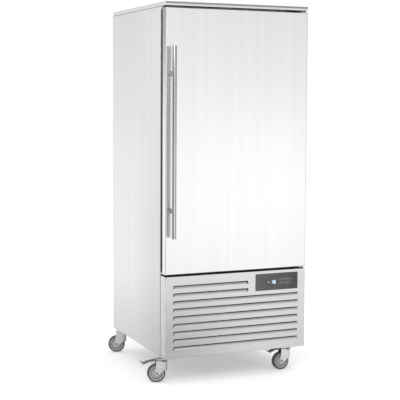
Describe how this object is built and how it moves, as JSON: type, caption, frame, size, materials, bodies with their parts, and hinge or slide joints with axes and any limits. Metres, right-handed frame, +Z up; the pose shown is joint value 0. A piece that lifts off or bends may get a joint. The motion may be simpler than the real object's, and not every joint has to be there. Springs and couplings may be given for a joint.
{
  "type": "blast chiller",
  "caption": "Upright stainless steel blast chiller cabinet on castors, with a hinged insulated door, bar handle, louvred front panel and control panel.",
  "frame": {"origin": "middle of the footprint on the floor, at the lowest point of the wheels", "axes": "+Z up, front with the door towards -Y, the hinge side of the door towards +X"},
  "size_m": [0.9402, 0.8834, 1.9365],
  "materials": {
    "satin_steel": "satin stainless steel sheet",
    "brushed_steel": "brushed stainless steel sheet",
    "polished_steel": "polished stainless steel",
    "zinc_steel": "bright zinc-plated steel",
    "dark_steel": "dull plated spring steel",
    "aluminium": "plain mill-finish aluminium",
    "copper": "drawn copper tube",
    "black_paint": "black enamel",
    "grey_paint": "grey enamel",
    "dark_plastic": "dark grey moulded plastic",
    "black_plastic": "black moulded plastic",
    "bezel_plastic": "dark grey printed film over plastic",
    "grey_plastic": "light grey moulded plastic",
    "nylon": "natural white nylon",
    "seal_rubber": "dark grey flexible seal",
    "wheel_grey": "grey wheel with a darker moulded-on tread",
    "foam": "cut face of pale yellow rigid foam"
  },
  "bodies": {
    "cabinet": {"side_panel_left": "satin_steel", "side_panel_right": "satin_steel", "lid_panel": "satin_steel", "back_panel": "satin_steel", "rear_vent_cover": "satin_steel", "cabinet_foam": "foam", "inner_liner": "satin_steel", "mouth_frame": "dark_plastic", "base_frame": "zinc_steel", "louvred_panel": "brushed_steel", "control_bezel": "bezel_plastic", "control_board_box": "grey_plastic", "hinge_bracket_top": "zinc_steel", "hinge_bracket_bottom": "zinc_steel", "tray_rack_left": "polished_steel", "tray_rack_right": "polished_steel", "fan_baffle": "satin_steel", "evaporator_coil": "aluminium", "evaporator_fan_motor_lower": "black_paint", "evaporator_fan_motor_upper": "black_paint", "condenser_coil": "aluminium", "condenser_shroud": "grey_paint", "condenser_fan_motor": "black_paint", "compressor": "black_paint", "liquid_receiver": "black_paint", "discharge_pipe": "copper", "suction_pipe": "copper", "condensate_tray": "grey_plastic", "electric_box": "grey_plastic", "mains_gland": "black_plastic", "castor_plate_front_left": "zinc_steel", "castor_plate_front_right": "zinc_steel", "castor_plate_rear_left": "zinc_steel", "castor_plate_rear_right": "zinc_steel"},
    "door": {"door_skin": "satin_steel", "door_inner_panel": "satin_steel", "door_foam": "foam", "door_gasket": "seal_rubber", "handle_bar": "polished_steel", "handle_standoff_top": "polished_steel", "handle_standoff_bottom": "polished_steel", "hinge_bush_top": "nylon", "hinge_bush_bottom": "nylon"},
    "evaporator_fan_lower": {"evaporator_fan_lower": "black_plastic"},
    "evaporator_fan_upper": {"evaporator_fan_upper": "black_plastic"},
    "condenser_fan": {"condenser_fan": "aluminium"},
    "swivel_front_left": {"castor_fork_front_left": "zinc_steel", "castor_axle_front_left": "zinc_steel"},
    "wheel_front_left": {"castor_wheel_front_left": "wheel_grey"},
    "swivel_front_right": {"castor_fork_front_right": "zinc_steel", "castor_axle_front_right": "zinc_steel"},
    "wheel_front_right": {"castor_wheel_front_right": "wheel_grey"},
    "swivel_rear_left": {"castor_fork_rear_left": "zinc_steel", "castor_axle_rear_left": "zinc_steel"},
    "wheel_rear_left": {"castor_wheel_rear_left": "wheel_grey"},
    "swivel_rear_right": {"castor_fork_rear_right": "zinc_steel", "castor_axle_rear_right": "zinc_steel"},
    "wheel_rear_right": {"castor_wheel_rear_right": "wheel_grey"},
    "brake_front_left": {"castor_brake_front_left": "dark_steel"},
    "brake_front_right": {"castor_brake_front_right": "dark_steel"}
  },
  "joints": [
    {"name": "door_hinge", "type": "hinge", "parent": "cabinet", "child": "door", "pos_m": [0.40513, -0.36965, 1.2365], "axis": [0, 0, 1], "range_deg": [0, 110]},
    {"name": "evaporator_fan_lower_spin", "type": "hinge", "parent": "cabinet", "child": "evaporator_fan_lower", "pos_m": [0.02713, 0.23755, 0.94925], "axis": [0, 1, 0], "continuous": true},
    {"name": "evaporator_fan_upper_spin", "type": "hinge", "parent": "cabinet", "child": "evaporator_fan_upper", "pos_m": [0.02713, 0.23755, 1.52875], "axis": [0, 1, 0], "continuous": true},
    {"name": "condenser_fan_spin", "type": "hinge", "parent": "cabinet", "child": "condenser_fan", "pos_m": [-0.11787, -0.20035, 0.32475], "axis": [0, 1, 0], "continuous": true},
    {"name": "swivel_front_left", "type": "hinge", "parent": "cabinet", "child": "swivel_front_left", "pos_m": [-0.32937, -0.31065, 0.12], "axis": [0, 0, 1], "continuous": true},
    {"name": "swivel_front_right", "type": "hinge", "parent": "cabinet", "child": "swivel_front_right", "pos_m": [0.38363, -0.31065, 0.12], "axis": [0, 0, 1], "continuous": true},
    {"name": "swivel_rear_left", "type": "hinge", "parent": "cabinet", "child": "swivel_rear_left", "pos_m": [-0.31087, 0.37135, 0.12], "axis": [0, 0, 1], "continuous": true},
    {"name": "swivel_rear_right", "type": "hinge", "parent": "cabinet", "child": "swivel_rear_right", "pos_m": [0.36513, 0.37135, 0.12], "axis": [0, 0, 1], "continuous": true},
    {"name": "wheel_spin_front_left", "type": "hinge", "parent": "swivel_front_left", "child": "wheel_front_left", "pos_m": [-0.3861, -0.29859, 0.047], "axis": [0.2079, 0.9781, 0], "continuous": true},
    {"name": "wheel_spin_front_right", "type": "hinge", "parent": "swivel_front_right", "child": "wheel_front_right", "pos_m": [0.32563, -0.31065, 0.047], "axis": [0, 1, 0], "continuous": true},
    {"name": "wheel_spin_rear_left", "type": "hinge", "parent": "swivel_rear_left", "child": "wheel_rear_left", "pos_m": [-0.36464, 0.39308, 0.047], "axis": [0.3746, 0.9272, 0], "continuous": true},
    {"name": "wheel_spin_rear_right", "type": "hinge", "parent": "swivel_rear_right", "child": "wheel_rear_right", "pos_m": [0.42313, 0.37135, 0.047], "axis": [0, 1, 0], "continuous": true},
    {"name": "brake_front_left", "type": "hinge", "parent": "swivel_front_left", "child": "brake_front_left", "pos_m": [-0.3548, -0.30524, 0.112], "axis": [-0.2079, -0.9781, 0], "range_deg": [0, 10]},
    {"name": "brake_front_right", "type": "hinge", "parent": "swivel_front_right", "child": "brake_front_right", "pos_m": [0.35763, -0.31065, 0.112], "axis": [0, -1, 0], "range_deg": [0, 10]}
  ]
}
